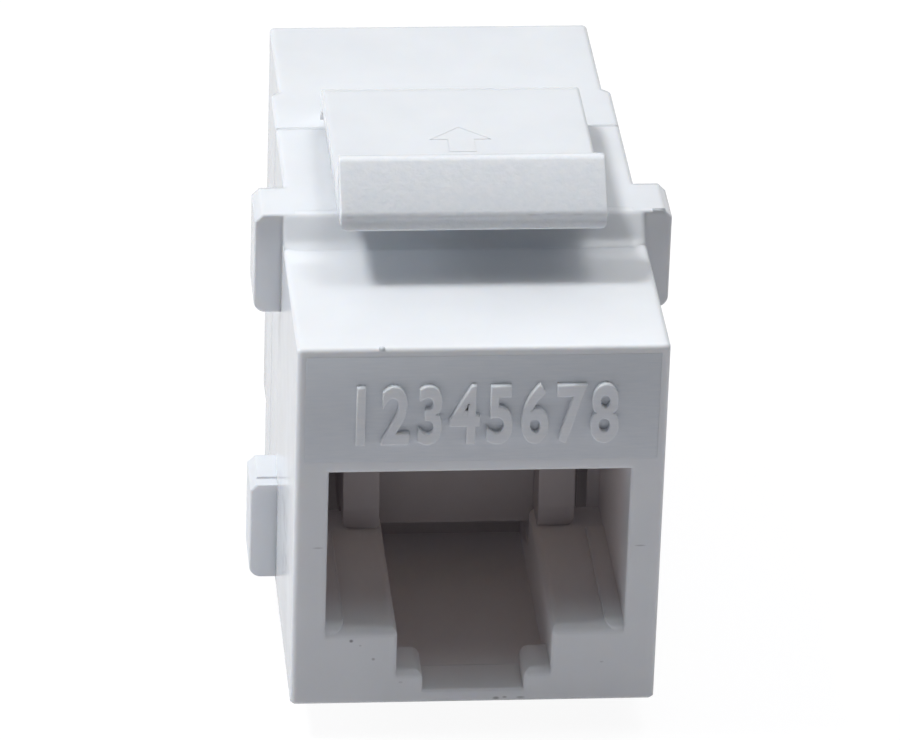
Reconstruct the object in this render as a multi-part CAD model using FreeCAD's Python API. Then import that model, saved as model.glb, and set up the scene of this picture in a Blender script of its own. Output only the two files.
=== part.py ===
# Keystone coupler: two eight-way modular sockets back to back in a housing that snaps into a panel.
#
# X runs across, Y from the front face to the rear, Z up. Heights are measured from the underside of the
# port block while the pieces are made. Each finished piece is then lowered by half the port's height, so
# that the origin lies in the middle of the front face.

import FreeCAD, Part
import math
import os

# Port block: the part of the front housing that fills the panel's cut-out
port_width = 14.8
port_height = 16.2
port_depth = 9.4

# Body behind the panel
body_width = 14.4
step_height = 1.1
wall = 1.0
seam_land = 0.3
seam_gap = 0.04
collar_length = 3.5
collar_chamfer = 0.34
rear_width = 13.72

# Outer edges of the shells
upright_edge_radius = 0.22
top_edge_radius = 0.14
bottom_edge_chamfer = 0.12

# Stop ears that bear on the back of the panel
panel_grip = 2.0
ear_setback = 0.4
ear_depth = 2.5
ear_reach = 1.32
ear_height = 4.45
ear_lift = 0.42
ear_chamfer = 0.32
ear_corner_radius = 0.5
ear_edge_chamfer = 0.06
ear_land_depth = 0.6
ear_land_drop = 0.08

# Fixed lug under the port block
lug_width = 9.6
lug_drop = 1.5
lug_crown = 0.9
lug_ramp = 1.3

# Latch tongue
latch_width = 10.7
latch_root_width = 9.9
latch_thickness = 0.85
latch_gap = 1.25
latch_ramp_run = 1.9
latch_bend_radius = 1.0
latch_edge_chamfer = 0.12
hinge_setback = 1.3
hinge_clearance = 0.04
hook_rise = 1.57
hook_crown = 0.4
hook_ramp_run = 1.75
hook_edge_radius = 0.16
hook_root_radius = 0.3
lip_drop = 0.14
lip_lean = 0.05
notch_side_gap = 0.05

# Socket mouth and plug space
plug_width = 12.08
plug_height = 7.15
socket_depth = 9.8
mouth_edge_radius = 0.12
rail_height = 3.52
rail_front_radius = 0.5
rail_corner_radius = 0.35
rail_strip_width = 0.75
rail_strip_rise = 0.15
rail_strip_front = 0.05
rail_strip_corner_radius = 0.45
tab_width = 6.26
tab_floor = 0.62
tab_floor_step = 0.12
ledge_gap = 4.1
ledge_depth = 1.95
ledge_height = 0.9
ledge_front_radius = 0.4
ledge_corner_radius = 0.42

# Contact carrier
insert_width = 9.6
insert_front = 2.0
insert_block_height = 2.75
insert_nose = 0.45
insert_fit = 0.06
back_wall = 2.2
back_wall_setback = 0.2
back_wall_bottom = 2.8
back_wall_corner_radius = 0.5
stop_inner = 3.3
stop_front = 7.95
stop_height = 3.7
stop_nose_height = 1.0
stop_nose_radius = 0.6
stop_corner_radius = 0.35
stop_undercut = 0.25
stop_lean = 0.5

# Spring contacts
contact_count = 8
contact_pitch = 1.016
contact_width = 0.45
contact_thickness = 0.3
contact_slot_gap = 0.08
contact_run_rise = 0.65
contact_fold_height = 1.1
contact_bend_radius = 0.45
contact_tip_depth = 8.4
contact_tip_drop = 2.35
tail_row_pitch = 1.3
tail_stub = 0.3
riser_gap = 1.0

# Circuit board and its bay
board_thickness = 1.6
board_shoulder = 0.7
board_fit = 0.1
board_hole_gap = 0.12

# Snap between the two shells
skirt_wall = 0.85
skirt_fit = 0.05
snap_length = 4.0
snap_height = 0.35
snap_run = 1.3
snap_gap = 0.08

# A rounding takes at most this share of the wall that it is cut into
rounding_share = 0.9
mouth_share = 0.6
edge_share = 0.3

# Cutters run this far past the faces that they open
overrun = 1.0

# Points nearer together than this count as one
same_place = 1e-6

# Half widths that follow from the sizes above
insert_half = insert_width / 2
body_half = body_width / 2
bay_half = body_half - wall
skirt_half = bay_half - skirt_fit
chamber_half = bay_half - board_shoulder
notch_half = latch_root_width / 2 + notch_side_gap

# Heights that follow
body_height = port_height + step_height
socket_top = rail_height + plug_height
ledge_top = tab_floor + ledge_height
insert_top = socket_top + insert_block_height
bay_floor = wall
bay_top = body_height - wall
chamber_floor = bay_floor + board_shoulder
chamber_top = bay_top - board_shoulder
contact_run = socket_top + contact_run_rise
plate_bottom = body_height + latch_gap
plate_top = plate_bottom + latch_thickness
crest = plate_top + hook_rise

# Depths that follow: two sockets and what stands between them
back_wall_front = socket_depth + back_wall_setback
insert_rear = back_wall_front + back_wall
board_front = insert_rear + riser_gap
board_rear = board_front + board_thickness
middle = board_front + board_thickness / 2
total_length = 2 * middle
seam = total_length - socket_depth - seam_land
skirt_front = board_rear + skirt_fit
collar_end = seam + collar_length
ear_front = port_depth + ear_setback
hook_rear = ear_front - panel_grip
hook_front = hook_rear - hook_crown - hook_ramp_run - lip_lean
hinge_depth = seam + hinge_setback
hinge_height = body_height - latch_thickness / 2
groove_radius = latch_thickness / 2 + hinge_clearance
latch_slope = math.atan2(plate_bottom + latch_thickness / 2 - hinge_height, latch_ramp_run)


def block(half_width, depth_range, height_range):
    """A box that is symmetric about X = 0, between two depths and two heights."""
    depth_start, depth_end = depth_range
    height_start, height_end = height_range
    corner = FreeCAD.Vector(-half_width, depth_start, height_start)
    return Part.makeBox(2 * half_width, depth_end - depth_start, height_end - height_start, corner)


def is_at(edge, axis, value):
    """True where both ends of an edge have this value on the axis."""
    return all(abs(getattr(vertex.Point, axis) - value) < same_place for vertex in edge.Vertexes)


def runs_along(edge, axis):
    """True where an edge is straight and parallel to the axis."""
    start, end = edge.Vertexes[0].Point, edge.Vertexes[-1].Point
    others = [other for other in "xyz" if other != axis]
    level = all(abs(getattr(start, other) - getattr(end, other)) < same_place for other in others)
    return level and edge.Curve.TypeId == "Part::GeomLine"


def rounded_wire(corners, radii):
    """A closed wire through corner points, each rounded to its own radius (0 leaves it sharp)."""
    arcs = []
    for number, corner in enumerate(corners):
        before = (corners[number - 1] - corner).normalize()
        after = (corners[(number + 1) % len(corners)] - corner).normalize()
        radius = radii[number]
        half_angle = before.getAngle(after) / 2
        reach = radius / math.tan(half_angle)
        inward = (before + after).normalize()
        middle_point = corner + inward * (radius / math.sin(half_angle) - radius)
        arcs.append((corner + before * reach, middle_point, corner + after * reach))
    edges = []
    for number, (start, middle_point, end) in enumerate(arcs):
        next_start = arcs[(number + 1) % len(arcs)][0]
        if radii[number] > 0:
            edges.append(Part.Arc(start, middle_point, end).toShape())
        edges.append(Part.LineSegment(end, next_start).toShape())
    return Part.Wire(edges)


def prism_across(points, half_width, radii=None):
    """Extrude an outline of (depth, height) points across X, symmetric about X = 0."""
    corners = [FreeCAD.Vector(-half_width, depth, height) for depth, height in points]
    outline = rounded_wire(corners, radii or [0] * len(corners))
    return Part.Face(outline).extrude(FreeCAD.Vector(2 * half_width, 0, 0))


def prism_along(points, depth_range, radii=None):
    """Extrude an outline of (x, height) points along Y between two depths."""
    depth_start, depth_end = depth_range
    corners = [FreeCAD.Vector(x, depth_start, height) for x, height in points]
    outline = rounded_wire(corners, radii or [0] * len(corners))
    return Part.Face(outline).extrude(FreeCAD.Vector(0, depth_end - depth_start, 0))


def prism_up(points, height_range, radii):
    """Extrude an outline of (x, depth) points upwards between two heights."""
    height_start, height_end = height_range
    corners = [FreeCAD.Vector(x, depth, height_start) for x, depth in points]
    return Part.Face(rounded_wire(corners, radii)).extrude(FreeCAD.Vector(0, 0, height_end - height_start))


def mirrored(shape):
    """The other hand of a shape, across X = 0."""
    return shape.mirror(FreeCAD.Vector(0, 0, 0), FreeCAD.Vector(1, 0, 0))


def turned_round(shape):
    """The same shape at the other end: half a turn about the upright middle line of the coupler."""
    turned = shape.copy()
    turned.rotate(FreeCAD.Vector(0, middle, 0), FreeCAD.Vector(0, 0, 1), 180)
    return turned


def soft_block(half_width, depth_range, height, end, edge_radius):
    """A block from the underside up, rounded on the uprights at the depth end and round the top."""
    shape = block(half_width, depth_range, (0, height))
    uprights = [edge for edge in shape.Edges if runs_along(edge, "z") and is_at(edge, "y", end)]
    shape = shape.makeFillet(edge_radius, uprights)
    most = edge_radius * rounding_share
    far_end = depth_range[0] if end == depth_range[1] else depth_range[1]

    def rim_at(level):
        """The edges round the block at a height, without the one at its far end."""
        return [edge for edge in shape.Edges if is_at(edge, "z", level) and not is_at(edge, "y", far_end)]

    shape = shape.makeFillet(min(top_edge_radius, most), rim_at(height))
    return shape.makeChamfer(min(bottom_edge_chamfer, most), rim_at(0))


# Socket mouth

def both_sides(right_side):
    """Close an outline by the mirror image of its right side, (x, height, radius) from the bottom up."""
    left_side = [(-x, height, radius) for x, height, radius in reversed(right_side)]
    whole = right_side + left_side
    return [(x, height) for x, height, _ in whole], [radius for _, _, radius in whole]


def socket_space():
    """What is cut out for a plug: the mouth with its catch ledges, and the tab channel behind them."""
    plug_half = plug_width / 2
    tab_half = tab_width / 2
    mouth = [
        (ledge_gap / 2, tab_floor, 0),
        (ledge_gap / 2, ledge_top, ledge_corner_radius),
        (tab_half, ledge_top, 0),
        (tab_half, rail_height, rail_corner_radius),
        (plug_half, rail_height, 0),
        (plug_half, socket_top, 0),
    ]
    channel = [
        (tab_half, tab_floor - tab_floor_step, 0),
        (tab_half, rail_height, rail_corner_radius),
        (plug_half, rail_height, 0),
        (plug_half, socket_top, 0),
    ]
    mouth_points, mouth_radii = both_sides(mouth)
    channel_points, channel_radii = both_sides(channel)
    at_mouth = prism_along(mouth_points, (-overrun, socket_depth), mouth_radii)
    behind_ledges = prism_along(channel_points, (ledge_depth, socket_depth), channel_radii)
    return at_mouth.fuse(behind_ledges)


def rounded_front(half_width, top, radius):
    """What is cut off the front edge of a surface in the mouth, at this height, to round the edge."""
    corner = block(half_width, (-overrun, radius), (top - radius, top))
    centre = FreeCAD.Vector(-half_width, radius, top - radius)
    return corner.cut(Part.makeCylinder(radius, 2 * half_width, centre, FreeCAD.Vector(1, 0, 0)))


def socket_block(half_width, length, height):
    """A block with a socket in its front face, at Y = 0: the rim of the mouth, rails and ledges rounded."""
    plug_half = plug_width / 2
    side_wall = half_width - plug_half
    edge_radius = min(upright_edge_radius, side_wall * edge_share)
    shape = soft_block(half_width, (0, length), height, 0, edge_radius).cut(socket_space())
    rim = []
    for edge in shape.Edges:
        centre = edge.BoundBox.Center
        in_width = abs(centre.x) < plug_half + same_place
        in_height = tab_floor - same_place < centre.z < socket_top + same_place
        if in_width and in_height and is_at(edge, "y", 0):
            rim.append(edge)
    lip = tab_floor - bottom_edge_chamfer
    mouth_radius = min(mouth_edge_radius, lip * rounding_share, side_wall * mouth_share)
    rail_front = rounded_front(plug_half, rail_height, rail_front_radius)
    ledge_front = rounded_front(tab_width / 2, ledge_top, ledge_front_radius)
    return shape.makeFillet(mouth_radius, rim).cut([rail_front, ledge_front])


def rail_strips():
    """The raised strips along the outer edges of the rails, rounded off at the front, right and left."""
    outer = plug_width / 2
    inner = outer - rail_strip_width
    rear = stop_front - insert_fit
    front = rail_strip_front
    foot = rail_height - rail_front_radius
    top = rail_height + rail_strip_rise
    side = [(front, foot), (front, top), (rear, top), (rear, foot)]
    plan = [(inner, front), (outer, front), (outer, rear), (inner, rear)]
    from_side = prism_across(side, outer, [0, rail_front_radius, 0, 0])
    right = from_side.common(prism_up(plan, (foot, top), [rail_strip_corner_radius, 0, 0, 0]))
    return [right, mirrored(right)]


def insert_pocket():
    """The pocket over the plug space that takes the carrier's block."""
    depths = (insert_front - insert_fit, socket_depth + overrun / 2)
    return block(insert_half + insert_fit, depths, (socket_top - overrun / 2, insert_top + insert_fit))


def carrier_passage():
    """The room behind the plug space that the carrier's back wall needs, up to the board."""
    depths = (socket_depth, board_front)
    return block(insert_half + insert_fit, depths, (back_wall_bottom - insert_fit, insert_top + insert_fit))


# Housings

def stop_ear(underside):
    """The right-hand ear with its underside at this height: chamfered above, rounded below."""
    root = body_half - wall / 2
    reach = body_half + ear_reach
    top = underside + ear_height
    outline = [
        (root, underside),
        (reach, underside),
        (reach, top - ear_chamfer),
        (reach - ear_chamfer, top),
        (root, top),
    ]
    radii = [0, ear_corner_radius, 0, 0, 0]
    ear = prism_along(outline, (ear_front, ear_front + ear_depth), radii)
    face_rim = [edge for edge in ear.Edges if is_at(edge, "y", ear_front) and not is_at(edge, "x", root)]
    return ear.makeChamfer(ear_edge_chamfer, face_rim)


def land_on_ear():
    """What is cut off the lower ear's top, along its front, to leave a shallow land there."""
    top = ear_lift + ear_height
    depths = (ear_front - overrun, ear_front + ear_land_depth)
    return block(body_half + ear_reach + overrun, depths, (top - ear_land_drop, top + overrun))


def front_step():
    """The slope from the top of the port block up to the body, level with the ears' front at its top."""
    foot = port_height - wall / 2
    rear = ear_front + ear_depth / 2
    outline = [
        (port_depth, foot),
        (port_depth, port_height),
        (ear_front, body_height),
        (rear, body_height),
        (rear, foot),
    ]
    return prism_across(outline, port_width / 2, [0, 0, top_edge_radius, 0, 0])


def fixed_lug():
    """The lug under the port block: a ramp at the front, a square face towards the panel."""
    front = hook_rear - lug_crown - lug_ramp
    outline = [
        (front, wall / 2),
        (front, 0),
        (hook_rear - lug_crown, -lug_drop),
        (hook_rear, -lug_drop),
        (hook_rear, wall / 2),
    ]
    return prism_across(outline, lug_width / 2)


def snap_rib(reach, run, length):
    """A wedge on the right side of the skirt, rising towards the rear up to a square catch."""
    catch = (skirt_front + seam) / 2 + run / 2
    foot = (bay_floor + bay_top) / 2 - length / 2
    root = skirt_half - skirt_wall / 2
    corners = [
        FreeCAD.Vector(root, catch - run, foot),
        FreeCAD.Vector(skirt_half, catch - run, foot),
        FreeCAD.Vector(skirt_half + reach, catch, foot),
        FreeCAD.Vector(root, catch, foot),
    ]
    face = Part.Face(rounded_wire(corners, [0] * len(corners)))
    return face.extrude(FreeCAD.Vector(0, 0, length))


def front_housing():
    """The shell with the port block, the ears, the lug and the front socket."""
    port = socket_block(port_width / 2, ear_front + ear_depth / 2, port_height)
    body_front = ear_front + wall / 2
    body_depths = (body_front, seam - seam_gap)
    body = soft_block(body_half, body_depths, body_height, body_front, upright_edge_radius)
    body = body.cut(socket_space())
    upper_ear = stop_ear(body_height - ear_height)
    lower_ear = stop_ear(ear_lift).cut(land_on_ear())
    ears = [upper_ear, lower_ear, mirrored(upper_ear), mirrored(lower_ear)]
    shell = port.multiFuse([front_step(), body, fixed_lug()] + rail_strips() + ears)

    chamber = block(chamber_half, (socket_depth, board_front + overrun), (chamber_floor, chamber_top))
    bay = block(bay_half, (board_front, seam + overrun), (bay_floor, bay_top))
    tab_heights = (tab_floor - tab_floor_step, back_wall_bottom)
    under_carrier = block(tab_width / 2, (socket_depth - overrun, board_front), tab_heights)
    recess = snap_rib(snap_height + snap_gap, snap_run + 2 * snap_gap, snap_length + 2 * snap_gap)
    hollow = [insert_pocket(), carrier_passage(), chamber, bay, under_carrier, recess, mirrored(recess)]
    return shell.cut(hollow).removeSplitter()


def collar_block():
    """The collar behind the seam, chamfered where it drops from the body's width to the rear socket's."""
    shape = block(body_half, (seam, collar_end), (0, body_height))
    uprights = [edge for edge in shape.Edges if runs_along(edge, "z") and is_at(edge, "y", collar_end)]
    shape = shape.makeChamfer(collar_chamfer, uprights)
    top = [edge for edge in shape.Edges if runs_along(edge, "y") and is_at(edge, "z", body_height)]
    shape = shape.makeFillet(top_edge_radius, top)
    foot = [edge for edge in shape.Edges if runs_along(edge, "y") and is_at(edge, "z", 0)]
    return shape.makeChamfer(bottom_edge_chamfer, foot)


def rear_housing():
    """The shell with the collar, the rear socket, the skirt inside the front shell and the latch's seat."""
    collar = collar_block().cut(turned_round(socket_space()))
    rear = turned_round(socket_block(rear_width / 2, total_length - seam, body_height))
    skirt = block(skirt_half, (skirt_front, seam + seam_land), (bay_floor + skirt_fit, bay_top - skirt_fit))
    rib = snap_rib(snap_height, snap_run, snap_length)
    strips = [turned_round(strip) for strip in rail_strips()]
    shell = rear.multiFuse([collar, skirt, rib, mirrored(rib)] + strips)

    skirt_hollow = block(
        skirt_half - skirt_wall,
        (skirt_front - overrun, total_length - socket_depth),
        (bay_floor + skirt_fit + skirt_wall, bay_top - skirt_fit - skirt_wall),
    )
    seat_floor = hinge_height - groove_radius
    seat_rear = hinge_depth + groove_radius * math.sin(latch_slope)
    seat_top = hinge_height + groove_radius * math.cos(latch_slope)
    over_ramp = (seat_rear - overrun / math.tan(latch_slope), seat_top + overrun)
    seat = [(seam - overrun, seat_floor), (hinge_depth, seat_floor), (seat_rear, seat_top), over_ramp]
    seat.append((seam - overrun, seat_top + overrun))
    notch = prism_across(seat, notch_half)
    groove = Part.makeCylinder(
        groove_radius,
        2 * notch_half,
        FreeCAD.Vector(-notch_half, hinge_depth, hinge_height),
        FreeCAD.Vector(1, 0, 0),
    )
    carrier_room = turned_round(insert_pocket().fuse(carrier_passage()))
    hollow = [carrier_room, skirt_hollow, notch, groove]
    return shell.cut(hollow).removeSplitter()


# Latch

def latch_tongue():
    """The sprung tongue: a narrow round root, a ramp up to the plate, the hook with its lead-in and lip."""
    half = latch_thickness / 2
    half_width = latch_width / 2
    lean = half * math.sin(latch_slope)
    lift = half * math.cos(latch_slope)

    def on_ramp(side, height):
        """The point where a face of the ramp, upper (1) or lower (-1), reaches a height."""
        climb = height - (hinge_height + side * lift)
        return (hinge_depth + side * lean - climb / math.tan(latch_slope), height)

    outline = [
        (hinge_depth + lean, hinge_height + lift),
        on_ramp(1, plate_top),
        (hook_rear, plate_top),
        (hook_rear, crest),
        (hook_rear - hook_crown, crest),
        (hook_rear - hook_crown - hook_ramp_run, plate_top - lip_drop),
        (hook_front, plate_bottom),
        on_ramp(-1, plate_bottom),
        (hinge_depth - lean, hinge_height - lift),
    ]
    radii = [
        0,
        latch_bend_radius + half,
        hook_root_radius,
        hook_edge_radius,
        hook_edge_radius,
        hook_edge_radius,
        hook_edge_radius,
        latch_bend_radius - half,
        0,
    ]
    tongue = prism_across(outline, half_width, radii)
    sides = [edge for edge in tongue.Edges if is_at(edge, "x", half_width) or is_at(edge, "x", -half_width)]
    root_start = hinge_depth - lean - same_place
    sides = [edge for edge in sides if edge.BoundBox.YMin < root_start]
    tongue = tongue.makeChamfer(latch_edge_chamfer, sides)
    root_half = latch_root_width / 2
    beside_root = Part.makeBox(
        latch_width, total_length, crest, FreeCAD.Vector(root_half, seam, 0)
    )
    root = Part.makeCylinder(
        half, latch_root_width, FreeCAD.Vector(-root_half, hinge_depth, hinge_height), FreeCAD.Vector(1, 0, 0)
    )
    return tongue.cut([beside_root, mirrored(beside_root)]).fuse(root).removeSplitter()


# Contact carrier, contacts and board

def contact_places():
    """The X of each contact, from the first to the last."""
    first = -contact_pitch * (contact_count - 1) / 2
    return [first + contact_pitch * number for number in range(contact_count)]


def plug_stops():
    """The two stops before the carrier's wall: a rounded nose, undercut below and leaning back above."""
    foot = rail_height + insert_fit
    top = foot + stop_height
    outline = [
        (back_wall_front, foot),
        (stop_front + stop_undercut, foot),
        (stop_front, foot + stop_nose_height),
        (stop_front + stop_lean, top),
        (back_wall_front, top),
    ]
    radii = [0, 0, stop_nose_radius, stop_nose_radius, 0]
    face = [(insert_half, foot), (insert_half, top), (-insert_half, top), (-insert_half, foot)]
    face_radii = [stop_corner_radius, 0, 0, stop_corner_radius]
    bar = prism_across(outline, insert_half, radii)
    bar = bar.common(prism_along(face, (stop_front, back_wall_front), face_radii))
    return bar.cut(block(stop_inner, (0, middle), (0, body_height)))


def contact_slot():
    """The slot of one contact: open below over the plug, a closed tunnel through the back wall."""
    half_width = contact_width / 2 + contact_slot_gap
    reach = contact_thickness / 2 + contact_slot_gap
    over_plug = (insert_front + insert_nose, back_wall_front)
    through_wall = (back_wall_front, insert_rear + overrun)
    open_slot = block(half_width, over_plug, (socket_top - overrun / 2, contact_run + reach))
    tunnel = block(half_width, through_wall, (contact_run - reach, contact_run + reach))
    return open_slot.fuse(tunnel)


def contact_insert():
    """The front carrier: slotted block over the plug, back wall behind it and the two plug stops."""
    carrier = block(insert_half, (insert_front, insert_rear), (socket_top, insert_top))
    wall_behind = block(insert_half, (back_wall_front, insert_rear), (back_wall_bottom, socket_top))
    lower_corners = [
        edge for edge in wall_behind.Edges if runs_along(edge, "y") and is_at(edge, "z", back_wall_bottom)
    ]
    wall_behind = wall_behind.makeFillet(back_wall_corner_radius, lower_corners)
    slots = []
    for place in contact_places():
        slot = contact_slot()
        slot.translate(FreeCAD.Vector(place, 0, 0))
        slots.append(slot)
    return carrier.multiFuse([wall_behind, plug_stops()]).cut(slots).removeSplitter()


def strip_outline(path, radius, thickness):
    """The outline of a bent strip along a path of (depth, height) points, and the radius at each corner."""
    half = thickness / 2
    sides = {1: [], -1: []}
    for number, (depth, height) in enumerate(path):
        before = path[max(number - 1, 0)]
        after = path[min(number + 1, len(path) - 1)]
        into = math.atan2(height - before[1], depth - before[0]) if number > 0 else None
        away = math.atan2(after[1] - height, after[0] - depth) if number < len(path) - 1 else None
        into = away if into is None else into
        away = into if away is None else away
        turn = (away - into + math.pi) % (2 * math.pi) - math.pi
        normal = into + turn / 2 + math.pi / 2
        reach = half / math.cos(turn / 2)
        for side in sides:
            point = (depth + side * reach * math.cos(normal), height + side * reach * math.sin(normal))
            inside = side * turn > 0
            corner_radius = 0 if turn == 0 else radius - half if inside else radius + half
            sides[side].append((point, corner_radius))
    outline = sides[1] + sides[-1][::-1]
    return [point for point, _ in outline], [corner_radius for _, corner_radius in outline]


def spring_contact(place, raised_tail):
    """One stamped strip: tail through the board, run along the slot, then folded back down to its tip."""
    fold_depth = insert_front + insert_nose + contact_thickness / 2 + contact_slot_gap
    riser_depth = insert_rear + riser_gap / 2
    tail_end = board_rear + tail_stub
    path = [
        (fold_depth, contact_run),
        (fold_depth, contact_run - contact_fold_height),
        (contact_tip_depth, socket_top - contact_tip_drop),
    ]
    if raised_tail:
        upper_row = contact_run + tail_row_pitch
        path = [(tail_end, upper_row), (riser_depth, upper_row), (riser_depth, contact_run)] + path
    else:
        path = [(tail_end, contact_run)] + path
    points, radii = strip_outline(path, contact_bend_radius, contact_thickness)
    strip = prism_across(points, contact_width / 2, radii)
    strip.translate(FreeCAD.Vector(place, 0, 0))
    return strip


def circuit_board():
    """The upright board, with an opening for a tail in each of two rows at every contact place."""
    board = block(
        bay_half - board_fit, (board_front, board_rear), (bay_floor + board_fit, bay_top - board_fit)
    )
    half_width = contact_width / 2 + board_hole_gap
    half_height = contact_thickness / 2 + board_hole_gap
    through = (board_front - overrun, board_rear + overrun)
    holes = []
    for place in contact_places():
        for row in (contact_run, contact_run + tail_row_pitch):
            hole = block(half_width, through, (row - half_height, row + half_height))
            hole.translate(FreeCAD.Vector(place, 0, 0))
            holes.append(hole)
    return board.cut(holes)


# Every piece by its name

def make_pieces():
    """All pieces in their places, with the origin still on the underside of the port block."""
    pieces = {
        "front_housing": front_housing(),
        "rear_housing": rear_housing(),
        "latch_tongue": latch_tongue(),
        "front_contact_insert": contact_insert(),
        "rear_contact_insert": turned_round(contact_insert()),
        "circuit_board": circuit_board(),
    }
    for number, place in enumerate(contact_places(), start=1):
        contact = spring_contact(place, raised_tail=number % 2 == 0)
        pieces[f"front_contact_{number}"] = contact
        pieces[f"rear_contact_{number}"] = turned_round(contact)
    return pieces


os.makedirs("parts", exist_ok=True)
for name, piece in make_pieces().items():
    solid = piece.Solids[0] if len(piece.Solids) == 1 else piece
    solid.translate(FreeCAD.Vector(0, 0, -port_height / 2))
    solid.exportStep(f"parts/{name}.step")
    print(f"{name}: {len(piece.Solids)} solid, valid {solid.isValid()}, {solid.Volume:.2f} cubic mm")
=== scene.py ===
"""Looks of a keystone coupler: two modular sockets back to back in a white snap-in housing."""

import logging
import math
from dataclasses import dataclass
from enum import Enum, IntEnum
from typing import Iterable, Optional, Sequence

import bmesh
import bpy
from mathutils import Matrix, Vector


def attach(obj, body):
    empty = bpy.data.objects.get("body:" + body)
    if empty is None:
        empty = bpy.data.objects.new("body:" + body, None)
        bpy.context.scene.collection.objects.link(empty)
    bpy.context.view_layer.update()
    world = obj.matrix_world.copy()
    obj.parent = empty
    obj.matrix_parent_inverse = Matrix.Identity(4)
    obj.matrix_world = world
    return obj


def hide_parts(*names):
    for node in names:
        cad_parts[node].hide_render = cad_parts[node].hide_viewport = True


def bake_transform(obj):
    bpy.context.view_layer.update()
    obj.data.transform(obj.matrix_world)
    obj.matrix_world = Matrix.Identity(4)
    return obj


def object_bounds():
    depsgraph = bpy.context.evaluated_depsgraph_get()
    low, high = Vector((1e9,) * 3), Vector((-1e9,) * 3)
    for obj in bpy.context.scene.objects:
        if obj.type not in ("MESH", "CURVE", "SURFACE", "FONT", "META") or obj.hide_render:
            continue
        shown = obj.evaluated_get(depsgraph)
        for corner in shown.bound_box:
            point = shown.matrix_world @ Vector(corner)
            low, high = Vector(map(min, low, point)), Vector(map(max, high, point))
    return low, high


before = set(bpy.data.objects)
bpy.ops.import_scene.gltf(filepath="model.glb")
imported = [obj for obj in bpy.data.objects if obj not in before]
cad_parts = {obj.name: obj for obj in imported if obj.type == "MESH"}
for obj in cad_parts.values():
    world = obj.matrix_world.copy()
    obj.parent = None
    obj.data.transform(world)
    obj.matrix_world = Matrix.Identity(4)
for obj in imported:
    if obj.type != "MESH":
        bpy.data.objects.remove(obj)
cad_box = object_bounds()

logging.basicConfig(level=logging.INFO, format="%(message)s")
log = logging.getLogger("coupler")

Colour = tuple[float, float, float]
Point = tuple[float, float, float]
Span = tuple[float, float]
# The lowest and the highest corner, in mm
Box = tuple[Point, Point]
# A depth and a height in the side view, in mm
SidePlace = tuple[float, float]

MM = 0.001
MERGE_DISTANCE = 0.0005 * MM
PHOTO_WIDTH = 900
SENSOR_WIDTH = 36.0
# The angles between faces from which an edge stays sharp, on moulded pieces and on small trim
MOULDED_CREASE = math.radians(28.0)
TRIM_CREASE = math.radians(40.0)
TRIM_SEGMENTS = 2
# The normals of planes that cut the part's width and its depth
WIDTH_AXIS: Point = (1.0, 0.0, 0.0)
DEPTH_AXIS: Point = (0.0, 1.0, 0.0)
# The inner share of a mark's reach in which it shows in full
SPOT_CORE = 0.4


class Body(str, Enum):
    """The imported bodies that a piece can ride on."""

    COUPLER = "coupler"
    LATCH = "latch"


class Slot(str, Enum):
    """The record's material slots."""

    HOUSING = "housing"
    CARRIER = "carrier"
    BOARD = "board"
    CONTACT = "contact"


class Grain(Enum):
    """What the mould's surface left on the plastic: grain size across X, Y and Z, and depth, in mm."""

    POLISHED = ((6.0, 6.0, 6.0), 0.0005)
    SPARKED = ((0.20, 0.20, 0.20), 0.020)
    DRAWN = ((0.75, 0.4, 0.14), 0.010)


class Lining(IntEnum):
    """What a face of the housing lines, which is also the place of its finish on the piece."""

    OUTSIDE = 0
    SOCKET = 1
    DEEP = 2
    LOWER_EAR = 3


# Meshes

def millimetres(*values: float) -> Vector:
    """A point given in mm, as metres."""
    return Vector(values) * MM


def shade_by_angle(shape: bmesh.types.BMesh, crease: float) -> None:
    """Shade every face smooth and keep the edges sharper than an angle.

    Args:
        shape: The mesh to shade.
        crease: The angle between faces, in radians, from which an edge stays sharp.
    """
    for face in shape.faces:
        face.smooth = True
    for edge in shape.edges:
        edge.smooth = edge.calc_face_angle(0.0) < crease


def make_object(shape: bmesh.types.BMesh, name: str) -> bpy.types.Object:
    """Turn a bmesh into an object at the origin and free the bmesh.

    Args:
        shape: The finished mesh, in metres in the part's frame.
        name: The piece's name.

    Returns:
        The linked object.
    """
    mesh = bpy.data.meshes.new(name)
    shape.to_mesh(mesh)
    shape.free()
    # The sharp edges give the shading, so normals that came with a node's mesh go
    normals = mesh.attributes.get("custom_normal")
    if normals is not None:
        mesh.attributes.remove(normals)
    piece = bpy.data.objects.new(name, mesh)
    bpy.context.scene.collection.objects.link(piece)
    return piece


def edges_between(verts: Iterable[bmesh.types.BMVert]) -> list[bmesh.types.BMEdge]:
    """The edges whose two ends are both among some vertices.

    Args:
        verts: The vertices.

    Returns:
        The edges, in no order.
    """
    chosen = set(verts)
    found = {edge for vert in chosen for edge in vert.link_edges if edge.other_vert(vert) in chosen}
    return list(found)


def bevel_edges(
    shape: bmesh.types.BMesh, edges: Sequence[bmesh.types.BMEdge], width: float, segments: int
) -> None:
    """Round edges by a bevel of a width in mm.

    Args:
        shape: The mesh that holds the edges.
        edges: The edges to round.
        width: How far the rounding reaches from each edge, in mm.
        segments: The number of faces across the rounding.
    """
    bmesh.ops.bevel(
        shape, geom=list(edges), offset=width * MM, offset_type="OFFSET", segments=segments,
        profile=0.5, affect="EDGES", material=-1, clamp_overlap=True,
    )


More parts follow.
